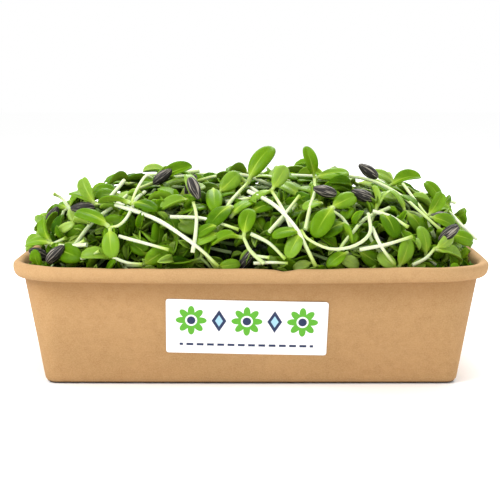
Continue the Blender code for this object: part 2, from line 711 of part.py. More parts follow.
def main():
    clear_scene()
    kraft = material("kraft_board", (0.50, 0.30, 0.15), 0.85)
    paper = material("label_paper", (0.86, 0.85, 0.82), 0.55)
    green = material("seed_leaf_green", (0.14, 0.33, 0.03), 0.45)
    shell = material("seed_hull_black", (0.03, 0.028, 0.025), 0.6)

    _, tray_tree = make_tray(kraft)
    make_label(paper)
    core = make_core()
    heap = Heap(tray_tree, tree_of(core), green, shell)

    laid = [front_shoot(entry) for entry in sorted(FRONT_SHOOTS, key=lambda top: -top["out"])]
    for shoot in laid:
        heap.lay_shoot(shoot)
    for entry in FRONT_HULLS:
        angle = math.radians(entry["heading"])
        heap.lay_hull(heap_front(*entry["at"], entry["out"]),
                      Vector((math.cos(angle), 0.0, math.sin(angle))), FRONT)

    rng = random.Random(SEED)
    crowns = [shoot["path"][-1] for shoot in laid]
    spots = spread_spots(rng, crowns, LOOSE_SHOOTS,
                         lambda x, y: y > -CREST_LINE or abs(x) > SIDE_START)
    for shoot in [strewn_shoot(rng, spot, LOOSE_LIFT, LOOSE_REACH, LOOSE_SINK) for spot in spots]:
        heap.lay_shoot(shoot)
    crowns += spots

    bed_spots = spread_spots(
        rng, crowns, BED_SKIRT,
        lambda x, y: y > SKIRT_START and BED_FOOT < heap_height(x, y) < SKIRT_TOP)
    bed_spots += spread_spots(rng, crowns + bed_spots, BED_ALL,
                              lambda x, y: heap_height(x, y) > BED_FOOT)
    bed_spots += spread_spots(rng, crowns + bed_spots, BED_FRONT, lambda x, y: y < -CREST_LINE)
    strewn = [strewn_shoot(rng, spot, rng.uniform(-BED_LIFT, BED_LIFT), BED_REACH, BED_SINK)
              for spot in bed_spots]

    for spot in spread_spots(rng, crowns, LOOSE_HULLS, lambda x, y: y > 0):
        angle = rng.uniform(0, math.tau)
        normal = heap_normal(spot)
        heap.lay_hull(spot + normal * LOOSE_LIFT,
                      Vector((math.cos(angle), math.sin(angle), 0.0)), normal)

    bed = []
    for points in BURIED_STEMS:
        bed += heap.bury(buried_stem(points), BURIED_BUILD, apart=False)
    for index, shoot in enumerate(strewn):
        bed += heap.bury(shoot, BED_BUILD, apart=index >= BED_SKIRT)
    fuse("packed_shoots", core, bed, green)

    for item in bpy.data.objects:
        item.data.shade_smooth()
        item.data.set_sharp_from_angle(angle=math.radians(40))


main()
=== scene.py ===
import random
from math import copysign, cos, pi, radians, sin, tau

import bmesh
import bpy
import numpy as np
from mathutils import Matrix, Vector
from mathutils.kdtree import KDTree


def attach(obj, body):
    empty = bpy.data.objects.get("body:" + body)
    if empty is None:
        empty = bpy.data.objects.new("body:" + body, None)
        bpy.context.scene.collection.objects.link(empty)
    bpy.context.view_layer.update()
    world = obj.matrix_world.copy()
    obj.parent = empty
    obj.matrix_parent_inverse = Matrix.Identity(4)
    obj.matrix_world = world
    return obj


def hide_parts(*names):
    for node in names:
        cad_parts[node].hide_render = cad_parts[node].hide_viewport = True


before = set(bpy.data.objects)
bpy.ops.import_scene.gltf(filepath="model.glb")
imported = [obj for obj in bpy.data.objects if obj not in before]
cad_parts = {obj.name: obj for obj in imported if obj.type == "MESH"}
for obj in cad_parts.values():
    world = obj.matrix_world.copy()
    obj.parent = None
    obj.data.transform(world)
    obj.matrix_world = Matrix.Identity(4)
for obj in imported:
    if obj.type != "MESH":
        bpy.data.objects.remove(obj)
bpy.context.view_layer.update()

# Cut sunflower shoots heaped in a kraft board tray. Lengths are worked out in
# millimetres and go into the meshes in metres. +X runs along the tray, -Y is the
# side with the label.

mm = 0.001
up = Vector((0, 0, 1))
front = Vector((0, -1, 0))


# Small helpers

def deselectAll():
    if bpy.context.object and bpy.context.object.mode != "OBJECT":
        bpy.ops.object.mode_set(mode="OBJECT")
    bpy.ops.object.select_all(action="DESELECT")


def pick(pieces):
    # select these and make the first one active
    deselectAll()
    for piece in pieces:
        piece.select_set(True)
    bpy.context.view_layer.objects.active = pieces[0]


def editMode(piece, selectMode="FACE"):
    pick([piece])
    bpy.ops.object.mode_set(mode="EDIT")
    bpy.ops.mesh.select_mode(type=selectMode)
    bpy.ops.mesh.select_all(action="DESELECT")
    return bmesh.from_edit_mesh(piece.data)


def selectFaces(piece, wanted):
    for face in editMode(piece).faces:
        face.select_set(wanted(face))


def doneEditing():
    bpy.ops.object.mode_set(mode="OBJECT")


def makeBall(segments, rings):
    # a ball with its poles on the X axis
    deselectAll()
    bpy.ops.mesh.primitive_uv_sphere_add(segments=segments, ring_count=rings, radius=1)
    ball = bpy.context.object
    editMode(ball)
    bpy.ops.mesh.select_all(action="SELECT")
    bpy.ops.transform.rotate(value=pi / 2, orient_axis="Y", center_override=(0, 0, 0))
    doneEditing()
    return ball


def makeRod(sides, cuts):
    # an upright rod one unit tall, cut into even lengths
    deselectAll()
    bpy.ops.mesh.primitive_cylinder_add(vertices=sides, radius=1, depth=1, location=(0, 0, 0.5))
    rod = bpy.context.object
    bpy.ops.object.transform_apply(location=True)
    for edge in editMode(rod, "EDGE").edges:
        edge.select_set(abs(edge.verts[0].co.z - edge.verts[1].co.z) > 0.5)
    bpy.ops.mesh.subdivide(number_cuts=cuts)
    doneEditing()
    return rod


def thickened(piece, thickness, offset, **settings):
    pick([piece])
    modifier = piece.modifiers.new("board", "SOLIDIFY")
    for name, value in dict(settings, thickness=thickness, offset=offset).items():
        setattr(modifier, name, value)
    bpy.ops.object.modifier_apply(modifier=modifier.name)


def linked(thing):
    bpy.context.scene.collection.objects.link(thing)
    return thing


def pointsOf(piece):
    points = np.empty(len(piece.data.vertices) * 3)
    piece.data.vertices.foreach_get("co", points)
    return points.reshape(-1, 3)


def setPoints(piece, points):
    piece.data.vertices.foreach_set("co", np.asarray(points, float).ravel())
    piece.data.update()


def setUv(piece, perPoint):
    # one uv for each point, the same in every face that uses the point
    corners = np.empty(len(piece.data.loops), int)
    piece.data.loops.foreach_get("vertex_index", corners)
    layer = piece.data.uv_layers.active or piece.data.uv_layers.new(name="UVMap")
    layer.data.foreach_set("uv", np.asarray(perPoint, float)[corners].ravel())


def setTrait(piece, name, values):
    # a number at each point for the materials to read
    trait = piece.data.attributes.get(name) or piece.data.attributes.new(name, "FLOAT", "POINT")
    trait.data.foreach_set("value", np.broadcast_to(values, len(piece.data.vertices)).astype(float))


def ease(low, high, share):
    # 0 below low, 1 above high, smooth between
    t = np.clip((share - low) / (high - low), 0, 1)
    return t * t * (3 - 2 * t)


def smoothed(piece, degrees):
    pick([piece])
    bpy.ops.object.shade_smooth_by_angle(angle=radians(degrees))


def nodesCalled(start):
    return sorted(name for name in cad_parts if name.startswith(start))


def finishPiece(name, pieces, material, slot, *nodes):
    # join what belongs together into one piece, which may take the place of nodes
    pick(pieces)
    if len(pieces) > 1:
        bpy.ops.object.join()
    piece = bpy.context.object
    piece.name = piece.data.name = name
    piece.data.materials.clear()
    piece.data.materials.append(material)
    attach(piece, "root")
    if nodes:
        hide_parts(*nodes)


# Materials

def sumOf(operation):
    return lambda self, *others: self.finish.maths(operation, self, *others)


class Value:
    # a number that varies over a surface: sums on it add their Math nodes
    def __init__(self, finish, socket):
        self.finish, self.socket = finish, socket

    def __rsub__(self, other):
        return self.finish.maths("SUBTRACT", other, self)

    __add__ = __radd__ = sumOf("ADD")
    __mul__ = __rmul__ = sumOf("MULTIPLY")
    __sub__ = sumOf("SUBTRACT")
    __truediv__ = sumOf("DIVIDE")
    __lt__ = sumOf("LESS_THAN")
    __abs__ = sumOf("ABSOLUTE")


class Finish:
    # one material; what stays the same all over is set on the shader's own sockets
    def __init__(self, name, **fixed):
        self.material = bpy.data.materials.new(name)
        self.material.use_nodes = True
        self.tree = self.material.node_tree
        self.finish(**fixed)

    def finish(self, **fed):
        shader = self.tree.nodes["Principled BSDF"]
        for socket, value in fed.items():
            self.feed(shader.inputs[socket.replace("_", " ")], value)
        return self.material

    def feed(self, socket, value):
        if isinstance(value, Value):
            self.tree.links.new(value.socket, socket)
        else:
            socket.default_value = value

    def node(self, kind, settings=None, inputs=None, output=0):
        made = self.tree.nodes.new("ShaderNode" + kind)
        for name, value in (settings or {}).items():
            setattr(made, name, value)
        for key, value in (inputs or {}).items():
            self.feed(made.inputs[key], value)
        return Value(self, made.outputs[output])

    def maths(self, operation, *values):
        return self.node("Math", dict(operation=operation), dict(enumerate(values)))

    def step(self, value, low, high, between="SMOOTHSTEP"):
        # 0 below low, 1 above high, smooth between
        return self.node("MapRange", dict(interpolation_type=between),
                         {"Value": value, "From Min": low, "From Max": high})

    def mix(self, share, first, second):
        return self.node("Mix", dict(data_type="RGBA", clamp_factor=True),
                         {0: share, 6: first, 7: second}, 2)

    def over(self, base, *layers):
        # one layer after another over the base, each a share and a screen colour
        for share, *colour in layers:
            base = self.mix(share, base, tint(*colour))
        return base

    def trait(self, name):
        return self.node("Attribute", dict(attribute_name=name), output="Fac")

    def place(self, size=(1, 1, 1)):
        where = self.node("TexCoord", output="Object")
        return self.node("Mapping", None, {"Vector": where, "Scale": size})

    def point(self, *parts):
        return self.node("CombineXYZ", None, dict(enumerate(parts)))

    def uv(self):
        flat = self.node("SeparateXYZ", None, {0: self.node("TexCoord", output="UV")})
        return flat, Value(self, flat.socket.node.outputs[1])

    def noise(self, where, scale, detail, roughness=0.55):
        return self.node("TexNoise", None, {"Vector": where, "Scale": scale, "Detail": detail,
                                            "Roughness": roughness})

    def bump(self, height, depth, strength):
        return self.node("Bump", None, {"Height": height, "Distance": depth, "Strength": strength})


def tint(*screen):
    # a screen colour, 0 to 255, as the linear colour that nodes take
    shares = [part / 255 for part in screen]
    return (*[share / 12.92 if share <= 0.04045 else ((share + 0.055) / 1.055) ** 2.4
              for share in shares], 1.0)


def kraftBoard():
    kraft = Finish("kraft board", Specular_IOR_Level=0.2)
    where = kraft.place()
    cloud = kraft.noise(where, 28, 3)
    mottle = kraft.noise(where, 260, 4, 0.6)
    grain = kraft.noise(where, 1900, 3, 0.6)
    strands = kraft.noise(kraft.place((0.3, 0.3, 2.2)), 1300, 2)
    fibre = kraft.step(strands, 0.58, 0.72)
    fleck = kraft.step(kraft.noise(where, 1500, 2), 0.64, 0.74)
    # painted shade under the roll, a paler painted highlight on the roll, and a near-black painted contact
    # shadow where it stands on the floor
    rise = kraft.node("SeparateXYZ", None, {0: where}, 2)
    # painted shade: the wall is darker in a band under the roll
    under = kraft.step(rise, 0.030, 0.0415) * kraft.step(rise, 0.0432, 0.0425)
    # painted highlight: the roll is painted paler where it faces the light
    roll = kraft.step(rise, 0.0430, 0.0455)
    # painted contact shadow: near black where the board meets the floor
    foot = kraft.step(rise, 0.0014, 0.0004)
    base = kraft.over(tint(167, 131, 86),
                      (kraft.step(cloud, 0.3, 0.7), 178, 139, 93),
                      (kraft.step(mottle, 0.35, 0.7) * 0.55, 160, 121, 77),
                      (kraft.step(grain, 0.35, 0.65) * 0.45, 190, 153, 110),
                      (fibre * 0.22, 200, 165, 125), (fleck * 0.28, 142, 100, 62),
                      (under * 0.4, 138, 98, 56), (roll * 0.22, 204, 168, 122),
                      (foot * 0.9, 52, 40, 30))
    grit = mottle * 0.4 + grain * 0.5 + fibre * 0.3
    return kraft.finish(Base_Color=base, Roughness=0.74 + grain * 0.14,
                        Normal=kraft.bump(grit, 0.00008, 0.8))


def freshGreens():
    # stems, stalks and seed leaves; "blade" is 0 on a stem and 1 on a leaf, and
    # "shade" grows towards the dark inside of the heap
    fresh = Finish("fresh greens", Subsurface_Weight=0.14, Subsurface_Scale=0.0014,
                   Subsurface_Radius=(0.6, 1.0, 0.04), Specular_IOR_Level=0.04, Coat_Roughness=0.36)
    blade, tone, under, shade = map(fresh.trait, ("blade", "tone", "under", "shade"))
    along, across = fresh.uv()
    off = abs(across - 0.5) * 2.0
    where = fresh.place()
    patch = fresh.noise(where, 160, 3)

    # leaf: a yellow stalk that fans out into the blade, with a pale line down its middle
    fan = fresh.step(along + off * 0.5, 0.62, 0.12)
    midrib = fresh.step(off, 0.09, 0.015) * fresh.step(along, 0.92, 0.45)
    rib = fresh.maths("FRACT", along * 15.0 - off * 5.5)
    veins = fresh.step(abs(rib - 0.5), 0.07, 0.0)
    veins = veins * fresh.step(off, 0.06, 0.16) * fresh.step(off, 0.95, 0.6)
    # the leaf tone varies at random per leaf; its pale end is partly the leaf's own paler green and partly
    # a painted sheen
    leaf = fresh.over(tint(50, 90, 0),
                      (tone * 2.0, 104, 146, 4), (tone * 2.0 - 1.0, 164, 192, 84),
                      (fresh.step(patch, 0.42, 0.66) * 0.3, 108, 152, 12),
                      (fresh.step(patch, 0.5, 0.3) * 0.3, 60, 100, 0),
                      (under * 0.4, 150, 182, 54), (fan * 0.62, 176, 204, 52),
                      (midrib * 0.45, 178, 206, 74), (veins * 0.2, 150, 186, 64))

    # stem: nearly white at the cut end and yellow-green at the crown
    streak = fresh.step(fresh.noise(where, 700, 2), 0.4, 0.7)
    stem = fresh.over(tint(226, 232, 202), (fresh.step(along, 0.0, 0.55, "LINEAR"), 230, 236, 208),
                      (fresh.step(along, 0.55, 0.85, "LINEAR"), 208, 224, 150),
                      (fresh.step(along, 0.85, 1.0, "LINEAR"), 182, 208, 78),
                      (streak * 0.22, 204, 224, 140), (tone * 0.62, 176, 204, 98),
                      (shade * 0.8, 106, 148, 40))

    base = fresh.mix(blade, stem, leaf)
    base = fresh.over(base, (shade * (0.62 + blade * 0.25), 12, 32, 0))
    skin = fresh.noise(where, 1600, 2)
    swells = fresh.noise(where, 380, 2) * blade
    height = skin * 0.5 + swells * 2.2 - veins * 0.7 - midrib * 1.2
    return fresh.finish(Base_Color=base, Roughness=0.36 + patch * 0.16 + (1.0 - blade) * 0.08,
                        Coat_Weight=(1.0 - shade) * (tone * tone * 0.62 + blade * tone * 0.1),
                        Normal=fresh.bump(height, 0.00010, 0.7))


def seedHull():
    hull = Finish("seed hull", Specular_IOR_Level=0.4)
    along, around = hull.uv()
    inner, tone = hull.trait("under"), hull.trait("tone")
    wander = hull.noise(hull.point(along * 1.3, around * 13.0, tone * 9.0), 1.0, 2)
    stripe = hull.step(wander, 0.53, 0.62)
    fine = hull.noise(hull.point(along * 7.0, around * 60.0, tone), 1.0, 2)
    base = hull.over(tint(22, 19, 17), (hull.step(fine, 0.4, 0.7) * 0.5, 54, 48, 43),
                     (stripe * 0.85, 168, 160, 146), (inner, 190, 178, 140))
    return hull.finish(Base_Color=base, Roughness=0.42 + fine * 0.25,
                       Normal=hull.bump(fine * 0.6 + stripe * 0.6, 0.00018, 0.9))


def labelPaper():
    # white glazed paper, with flowers and lozenges over a row of dashes
    paper = Finish("label paper", Specular_IOR_Level=0.45)
    art = labelArt
    pitch = art["pitch"]
    along, upward = paper.uv()
    x = (along - 0.5) * labelPiece["length"]
    y = (upward - 0.5) * labelPiece["height"]
    green, navy, blue, white = (88, 170, 34), (18, 38, 80), (160, 204, 226), (250, 251, 251)

    def inside(reach, edge, blur=art["blur"]):
        return paper.step(reach - edge, blur, -blur)

    base = paper.over(tint(252, 252, 252), (paper.noise(paper.place(), 300, 2) * 0.5, 246, 247, 248))
    for middle in art["flowers"]:
        east, north = x - middle, y - art["row"]
        reach = paper.maths("SQRT", east * east + north * north)
        turn = paper.maths("ARCTAN2", north, east) * (art["petals"] / 2)
        petal = abs(paper.maths("COSINE", turn)) * 0.42 + 0.58
        base = paper.over(base, (inside(reach / petal, art["flower"]), *green),
                          (inside(reach, art["eye"]), *white), (inside(reach, art["pupil"]), *navy))
    for middle in art["lozenges"]:
        reach = abs(x - middle) / art["lozenge"][0] + abs(y - art["row"]) / art["lozenge"][1]
        base = paper.over(base, (paper.step(reach, 1.04, 0.96), *navy),
                          (paper.step(reach, 0.56, 0.48), *blue))
    cell = abs(paper.maths("FRACT", x / pitch + 20.0) - 0.5) * pitch
    halfDash, halfLine, blur = art["dash"]
    dash = inside(cell, halfDash, blur) * inside(abs(y - art["foot"]), halfLine, blur)
    base = paper.over(base, (dash * (abs(x) < art["ends"]), *navy))
    tooth = paper.noise(paper.place(), 2500, 2)
    return paper.finish(Base_Color=base, Roughness=0.34 + tooth * 0.12,
                        Normal=paper.bump(tooth, 0.00002, 0.5))


def heartInPaintedShade():
    # the imported leaves far down in the heap, seen only through the gaps; their dark green is painted
    # shade, darker still between the lumps
    heartShading = Finish("heart of the heap", Specular_IOR_Level=0.1)
    lumps = heartShading.node("TexVoronoi", dict(feature="F1"), {"Vector": heartShading.place(), "Scale": 190.0})
    # painted shade: darker away from each lump's middle, in the crevices between them
    base = heartShading.over(tint(34, 62, 4), (heartShading.step(lumps, 0.1, 0.6), 12, 26, 1))
    return heartShading.finish(Base_Color=base, Roughness=0.5 + lumps * 0.2,
                       Normal=heartShading.bump(lumps * -1.0, 0.002, 1.0))


def studioFloor():
    pale = Finish("pale floor", Roughness=0.8, Specular_IOR_Level=0.0)
    haze = pale.noise(pale.place(), 6, 2)
    return pale.finish(Base_Color=pale.over(tint(254, 254, 254), (haze, 253, 253, 253)))


# Tray: one sheet of board pressed to shape, with its rim rolled outwards. Foot and rim are
# the half length, half depth, corner radius, bow and end bow of the outer wall.

trayPiece = dict(foot=(81.6, 48.6, 5.0, 0.3, 0.0), rim=(90.65, 57.4, 18.0, 7.5, 1.0), height=48.5,
                 board=0.9, beadHeight=5.9, beadReach=3.6, cornerSteps=14, sideSteps=(48, 24),
                 wallSteps=14, rollSteps=18, rollTurn=16.5, dent=(13.0, 3.0, 0.9), wobble=0.16,
                 wave=0.2, baseInsets=(1.0, 0.8), baseLift=0.5)


def wallAt(height):
    share = height / trayPiece["height"]
    return [low + (high - low) * share for low, high in zip(trayPiece["foot"], trayPiece["rim"])]


def wallRing(height, offset):
    # the rounded, bowed rectangle of the wall at a height, moved out by offset
    tray = trayPiece
    halfX, halfY, radius, bow, endBow = wallAt(height)
    halfX, halfY, radius = halfX + offset, halfY + offset, radius + offset
    flat = []
    for index, (sideX, sideY) in enumerate(((1, 1), (-1, 1), (-1, -1), (1, -1))):
        middle = Vector((sideX * (halfX - radius), sideY * (halfY - radius)))
        for step in range(tray["cornerSteps"] + 1):
            angle = pi / 2 * (index + step / tray["cornerSteps"])
            flat.append(middle + radius * Vector((cos(angle), sin(angle))))
        steps = tray["sideSteps"][index % 2]
        run = Vector((0, -2 * middle.y)) if index % 2 else Vector((-2 * middle.x, 0))
        start = flat[-1].copy()
        flat += [start + run * (step / steps) for step in range(1, steps)]
    return [(point.x + copysign(endBow * (1 - (point.y / halfY) ** 2), point.x),
             point.y + copysign(bow * (1 - (point.x / halfX) ** 2), point.y),
             height) for point in flat]


def traySection():
    # the middle of the sheet, from the base's edge up the wall and round the rolled rim
    tray = trayPiece
    half = tray["board"] / 2
    section = [(half, -3.0), (half + 0.15, -1.9), (half + 0.6, -1.05), (half + 1.5, -half - 0.1)]
    rise = tray["height"] - tray["beadHeight"]
    section += [(3.2 + (rise - 4.2) * step / tray["wallSteps"], -half)
                for step in range(tray["wallSteps"] + 1)]
    tall = (tray["beadHeight"] - tray["board"]) / 2
    wide = (tray["beadReach"] + tray["board"]) / 2 - half
    for step in range(tray["rollSteps"] + 1):
        angle = radians(180 - step * tray["rollTurn"])
        level, reach = sin(angle), cos(angle)
        section.append((tray["height"] - half - tall + tall * copysign(abs(level) ** 0.85, level),
                        wide - half + wide * copysign(abs(reach) ** 0.7, reach)))
    return section


def makeTray():
    section = traySection()
    rings = np.array([wallRing(height, offset) for height, offset in section])
    levels, around = len(section) - 1, rings.shape[1]
    tray = makeRod(around, levels - 1)
    selectFaces(tray, lambda face: face.normal.z > 0.9)
    bpy.ops.mesh.delete(type="ONLY_FACE")
    doneEditing()
    points = pointsOf(tray)
    spot = np.round(np.arctan2(points[:, 1], points[:, 0]) / tau * around).astype(int) % around
    level = np.round(points[:, 2] * levels).astype(int)
    points = rings[level, spot]
    # the panels are never quite flat, the roll is a little uneven and has one dent in front
    x, y, z = points.T
    bulge = trayPiece["wave"] * np.sin(x * 0.061 + 1.3) * np.sin(z * 0.11 + x * 0.02) * ease(2, 14, z)
    points[:, 1] += np.sign(y) * bulge
    dentAt, dentWidth, dentDepth = trayPiece["dent"]
    dent = dentDepth * np.exp(-((x - dentAt) / dentWidth) ** 2) * (y < 0)
    roll = np.sin(x * 0.09 + y * 0.05) + 0.6 * np.sin(x * 0.31 + 2)
    points[:, 2] += (trayPiece["wobble"] * roll - dent) * ease(43, 48, z)
    setPoints(tray, points * mm)
    selectFaces(tray, lambda face: len(face.verts) > 4)
    for inset in trayPiece["baseInsets"]:
        bpy.ops.mesh.inset(thickness=inset * mm)
    bpy.ops.transform.translate(value=(0, 0, trayPiece["baseLift"] * mm))
    doneEditing()
    thickened(tray, trayPiece["board"] * mm, 0.0, use_even_offset=True)
    smoothed(tray, 40)
    finishPiece("tray_board", [tray], kraftBoard(), "kraft_board", "tray")
    print("tray made")


# Label: a paper sticker on the front wall

labelPiece = dict(length=62.5, height=22.3, across=-1.6, upward=24.3, turn=radians(-1.2),
                  radius=0.9, thickness=0.16, off=0.30, lift=0.3)
labelArt = dict(row=2.6, flowers=(-21.5, 0.0, 21.5), flower=6.0, eye=2.3, pupil=1.656, petals=8,
                lozenges=(-10.75, 10.75), lozenge=(2.9, 4.6), blur=0.12,
                foot=-7.4, pitch=4.0, dash=(1.35, 0.5, 0.1), ends=26.0)


def makeLabel():
    label = labelPiece
    size = np.array((label["length"], label["height"]))
    deselectAll()
    bpy.ops.mesh.primitive_grid_add(x_subdivisions=66, y_subdivisions=24, size=1)
    sticker = bpy.context.object
    flat = pointsOf(sticker)[:, :2] * size
    # the square corners are drawn in to round ones
    beyond = np.maximum(np.abs(flat) - (size / 2 - label["radius"]), 0)
    longest, length = beyond.max(axis=1), np.hypot(*beyond.T)
    pull = np.where(length > 0, longest / np.maximum(length, 1e-9), 1)
    flat = np.sign(flat) * (np.abs(flat) - beyond + beyond * pull[:, None])
    setUv(sticker, flat / size + 0.5)
    x, y = flat.T
    turn = label["turn"]
    across = label["across"] + x * cos(turn) - y * sin(turn)
    height = label["upward"] + x * sin(turn) + y * cos(turn)
    wallX, wallY, _, bow, _ = wallAt(height)
    # one corner has come away from the board a little
    off = label["off"] + label["lift"] * ease(24, 46, x + y * 1.2)
    face = wallY + bow * (1 - (across / wallX) ** 2) + off
    setPoints(sticker, np.column_stack((across, -face, height)) * mm)
    thickened(sticker, label["thickness"] * mm, -1.0)
    smoothed(sticker, 40)
    finishPiece("label_sticker", [sticker], labelPaper(), "label_paper", "label")
    print("label made")


# Heap: the face that the leaves follow

heap = dict(half=(88.0, 61.0), square=(4.0, 2.5), foot=44.0, rise=31.5, crestLine=16.0,
            faceGap=3.0, rimOut=2.5, rimSlope=0.5, shade=(0.74, 1.25))


def heapShares(x, y, z):
    # the way to the face in each direction: on the face these add up to 1
    flat = [abs(at / half) ** power for at, half, power in zip((x, y), heap["half"], heap["square"])]
    return *flat, ((z - heap["foot"]) / heap["rise"]) ** 2


def heapHeight(x, y):
    shareX, shareY, _ = heapShares(x, y, heap["foot"])
    return heap["foot"] + heap["rise"] * max(1 - shareX - shareY, 0.0) ** 0.5


def heapDepth(x, z):
    shareX, _, shareZ = heapShares(x, 0.0, z)
    return heap["half"][1] * max(1 - shareX - shareZ, 0.0) ** (1 / heap["square"][1])


def heapShade(points):
    # 0 on the heap's face and 1 deep inside it
    x, y, z = points.T
    return 1 - ease(*heap["shade"], sum(heapShares(x, y, np.maximum(z, heap["foot"]))))


def heapNormal(point):
    flat = [copysign(power * abs(at / half) ** (power - 1), at) / half
            for at, half, power in zip(point, heap["half"], heap["square"])]
    return Vector((*flat, 2 * max(point.z - heap["foot"], 0.0) / heap["rise"] ** 2)).normalized()


def heapFront(across, upward, out):
    # the point over (across, upward) on the heap's face, "out" in front of it
    point = Vector((across, -max(heap["crestLine"], heapDepth(across, upward)), upward))
    stand = min(out, heap["rimOut"] + (upward - trayPiece["height"]) * heap["rimSlope"])
    return point + heapNormal(point) * heap["faceGap"] + front * (stand - heap["faceGap"])


def pathOnFront(points, out):
    return [heapFront(across, upward, out) for across, upward in points]


# Shoots: where each one lies. The front ones are laid at (across, upward). The
# stem runs from its cut end to the crown, and each leaf to its tip. "turn" rolls each leaf
# round its length and "out" is how far the shoot stands off the heap. A cut end that
# starts high up is tucked under the leaves, unless it shows.

def byHand(stem, tips, turn, out, **looks):
    return dict(stem=stem, tips=tips, turn=turn, out=out, **looks)


frontShoots = (
    byHand(((-9, 67), (-5, 71), (-1, 74)), ((9, 88), (-14, 76)), (30, 40), 2, deepen=0.35),
    byHand(((23, 67), (25, 71), (26, 75)), ((22, 88), (40, 77)), (-70, 30), 4),
    byHand(((7, 60), (11, 63), (16, 67), (20, 71)), ((11, 76), (28, 67)), (-10, 20), 3),
    byHand(((14, 62), (11, 67), (8, 71)), ((14, 80), (0, 67)), (50, 0), 0),
    byHand(((38, 60), (35, 64), (30, 67)), ((23, 58), (41, 71)), (0, 30), 2),
    byHand(((45, 65), (45, 59), (39, 55), (30, 54), (22, 57), (19, 60)), ((8, 58), (14, 51)), (20, 0), 6,
           endShows=True, deepen=0.6),
    byHand(((31, 50), (37, 53), (41, 55)), ((50, 49), (37, 63)), (20, 0), 2),
    byHand(((54, 49), (50, 53), (46, 58), (46, 62), (49, 67)), ((48, 76), (55, 74)), (70, -50), 4),
    byHand(((54, 68), (44, 65), (39, 61), (35, 57), (32, 52)), ((41, 49), (34, 44)), (0, 0), 9,
           endShows=True),
    byHand(((49, 68), (53, 72), (57, 74)), ((70, 78), (64, 70)), (40, 0), 1),
    byHand(((71, 57), (69, 62), (65, 65), (60, 66)), ((55, 74), (67, 57)), (20, 10), 3),
    byHand(((39, 77), (50, 75), (60, 70), (68, 63), (75, 57)), ((86, 54), (70, 49)), (20, -30), 6,
           deepen=0.45),
    byHand(((62, 73), (65, 68), (69, 62)), ((75, 71), (79, 58)), (10, 40), 1, endShows=True),
    byHand(((61, 48), (66, 50), (70, 53)), ((77, 58), (80, 48)), (20, -20), 4),
    byHand(((72, 46), (69, 49), (66, 51)), ((65, 61), (59, 46)), (0, 0), 2),
    byHand(((50, 45), (54, 46), (56, 47)), ((60, 57), (48, 52)), (10, 0), 1),
    byHand(((-52, 75), (-55, 71), (-58, 68), (-62, 67)), ((-72, 71), (-67, 77)), (20, -20), 2,
           endShows=True),
    byHand(((-62, 54), (-70, 53), (-77, 53)), ((-80, 62), (-87, 52)), (0, 30), 2),
    byHand(((-45, 69), (-47, 64), (-50, 61), (-54, 60)), ((-67, 65), (-52, 50)), (20, 0), 5),
    byHand(((-50, 54), (-56, 55), (-61, 55)), ((-72, 56), (-71, 48)), (20, 0), 1),
    byHand(((-39, 47), (-38, 51), (-38, 54)), ((-36, 65), (-46, 58)), (50, 0), 7),
    byHand(((-43, 74), (-45, 70), (-46, 66)), ((-36, 64), (-59, 66)), (0, 50), 1),
    byHand(((-22, 53), (-21, 59), (-21, 65), (-23, 70)), ((-35, 66), (-25, 79)), (0, 20), 6),
    byHand(((0, 78), (-8, 79), (-16, 78), (-23, 76)), ((-34, 80), (-38, 72)), (10, 0), 1),
    byHand(((2, 70), (-7, 71), (-14, 72)), ((-14, 63), (-5, 80)), (0, 40), 4),
    byHand(((5, 49), (0, 53), (-2, 56), (-3, 58)), ((0, 67), (-15, 55)), (0, 30), 3),
    byHand(((-50, 58), (-39, 56), (-30, 54)), ((-21, 56), (-28, 45)), (20, 60), 3),
    byHand(((-53, 51), (-47, 49), (-41, 49)), ((-31, 55), (-35, 46)), (20, 40), 2),
    byHand(((-52, 69), (-38, 65), (-27, 60), (-19, 55), (-13, 48)), ((-4, 50), (-18, 46)), (0, 0), 8,
           endShows=True, pale=True),
    byHand(((0, 74), (6, 71), (12, 67), (17, 62), (20, 57), (24, 50)), ((16, 48), (28, 44)), (0, 0), 7,
           endShows=True, pale=True),
    byHand(((-61, 62), (-54, 67), (-47, 72), (-38, 75)), ((-24, 81), (-33, 71)), (50, 0), 3),
)

# Stems whose leaves are buried
buriedStems = (
    ((-39, 65), (-20, 64), (-5, 61)), ((38, 66), (50, 65), (60, 60)), ((43, 54), (52, 55), (61, 57)),
    ((-56, 56), (-60, 53), (-65, 50)), ((-62, 58), (-68, 54), (-74, 50)), ((0, 60), (7, 56), (13, 51)),
    ((20, 52), (12, 50), (1, 49)), ((-28, 76), (-14, 77), (0, 76)), ((-70, 61), (-75, 66), (-80, 70)),
)

shootRule = dict(stemRadius=1.0, leafReach=5.0, tipOut=0.5, tailLength=12.0, tailSink=4.0,
                 tailLevel=60.0, lean=Vector((0, -1, 0.5)).normalized(),
                 settleStep=0.6, settleTries=29, match=0.03, seed=5)

strewnRule = dict(looseShoots=17, loose=(3.5, 30.0, 1.0), sideStart=70.0,
                  skirt=46, everywhere=120, front=70, skirtStart=-10.0, skirtTop=68.0,
                  bedFoot=50.0, bedLift=2.0, bedReach=16.0, bedSink=13.0, bedShift=4.0, buriedOut=2.0,
                  stemBend=((1.0, 1.0, 0.0), (0.6, 0.4, 0.0), (0.25, 0.0, 0.5), (0.0, 0.0, 0.0)),
                  climbTop=66.0, climbRise=14.0, headingSpread=0.7, lengths=(11.5, 13.5),
                  rises=(-1.0, 4.5), angles=(20.0, 75.0), roll=55.0,
                  spotDraws=12, spotReach=1.42, seed=23)


def rolled(facing, along, degrees):
    # the facing direction turned round a leaf's length
    side = along.normalized().cross(facing)
    return (facing * cos(radians(degrees)) + side * sin(radians(degrees))).normalized()


